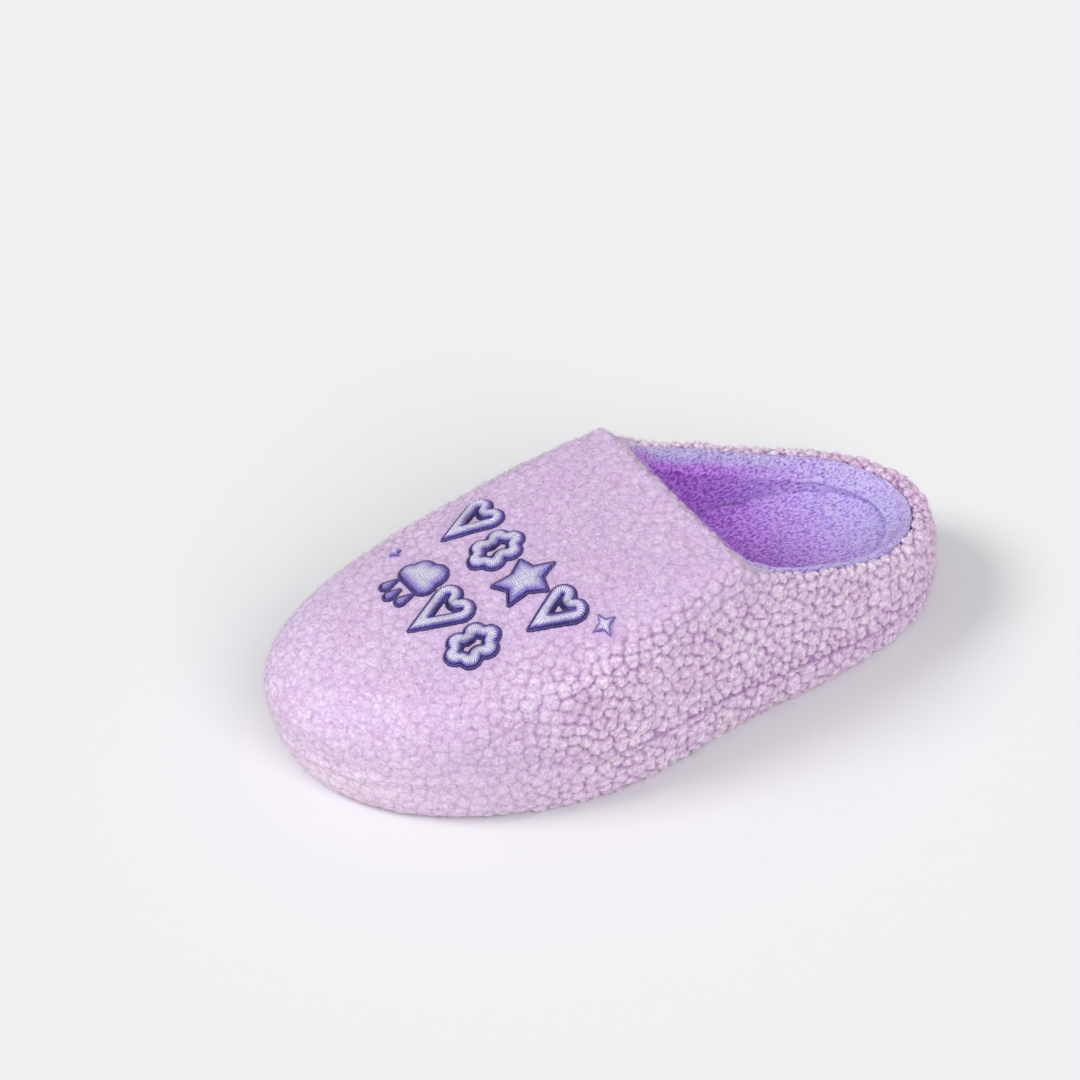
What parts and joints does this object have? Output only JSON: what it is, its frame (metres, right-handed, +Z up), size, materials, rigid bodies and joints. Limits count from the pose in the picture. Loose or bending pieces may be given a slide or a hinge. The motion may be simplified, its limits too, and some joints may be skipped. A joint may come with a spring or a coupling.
{
  "type": "house slipper",
  "caption": "Closed-toe slip-on house slipper for the left foot, with a padded boucle fleece upper, low heel collar, dished fleece footbed and embroidered vamp.",
  "frame": {"origin": "centre of the bounding box in plan, on the floor under the sole", "axes": "+X from heel to toe, +Y to the wearer's left (the outer side of this left foot), +Z up"},
  "size_m": [0.2838, 0.1248, 0.0856],
  "materials": {
    "outer_fleece": "pale lilac boucle fleece, nubbly pile",
    "lining_fleece": "periwinkle violet coral fleece, short soft pile",
    "satin_thread": "glossy lavender satin-stitch embroidery thread",
    "border_thread": "dark indigo embroidery thread",
    "sewing_thread": "matt lilac sewing thread",
    "outsole_rubber": "matt moulded sole rubber",
    "midsole_eva": "matt foamed sole compound",
    "board": "matt fibre insole board",
    "foam": "open-cell padding foam",
    "counter_board": "matt heel counter board",
    "stabiliser": "matt non-woven stabiliser"
  },
  "bodies": {
    "root": {"band_joint_thread": "sewing_thread", "band_seam_thread": "sewing_thread", "board_seam_thread": "sewing_thread", "border_flower": "border_thread", "border_heart": "border_thread", "border_rain_cloud": "border_thread", "border_small_flower": "border_thread", "border_small_heart": "border_thread", "border_star": "border_thread", "border_tall_heart": "border_thread", "embroidery_stabiliser": "stabiliser", "footbed_cover": "lining_fleece", "footbed_foam": "foam", "foxing_band": "outer_fleece", "heel_counter": "counter_board", "heel_seam_thread": "sewing_thread", "insole_board": "board", "midsole": "midsole_eva", "opening_seam_thread": "sewing_thread", "outsole": "outsole_rubber", "satin_corner_sparkle": "satin_thread", "satin_flower": "satin_thread", "satin_heart": "satin_thread", "satin_rain_cloud": "satin_thread", "satin_side_sparkle": "satin_thread", "satin_small_flower": "satin_thread", "satin_small_heart": "satin_thread", "satin_star": "satin_thread", "satin_tall_heart": "satin_thread", "upper_foam": "foam", "upper_lining": "lining_fleece", "upper_shell": "outer_fleece"}
  },
  "joints": []
}
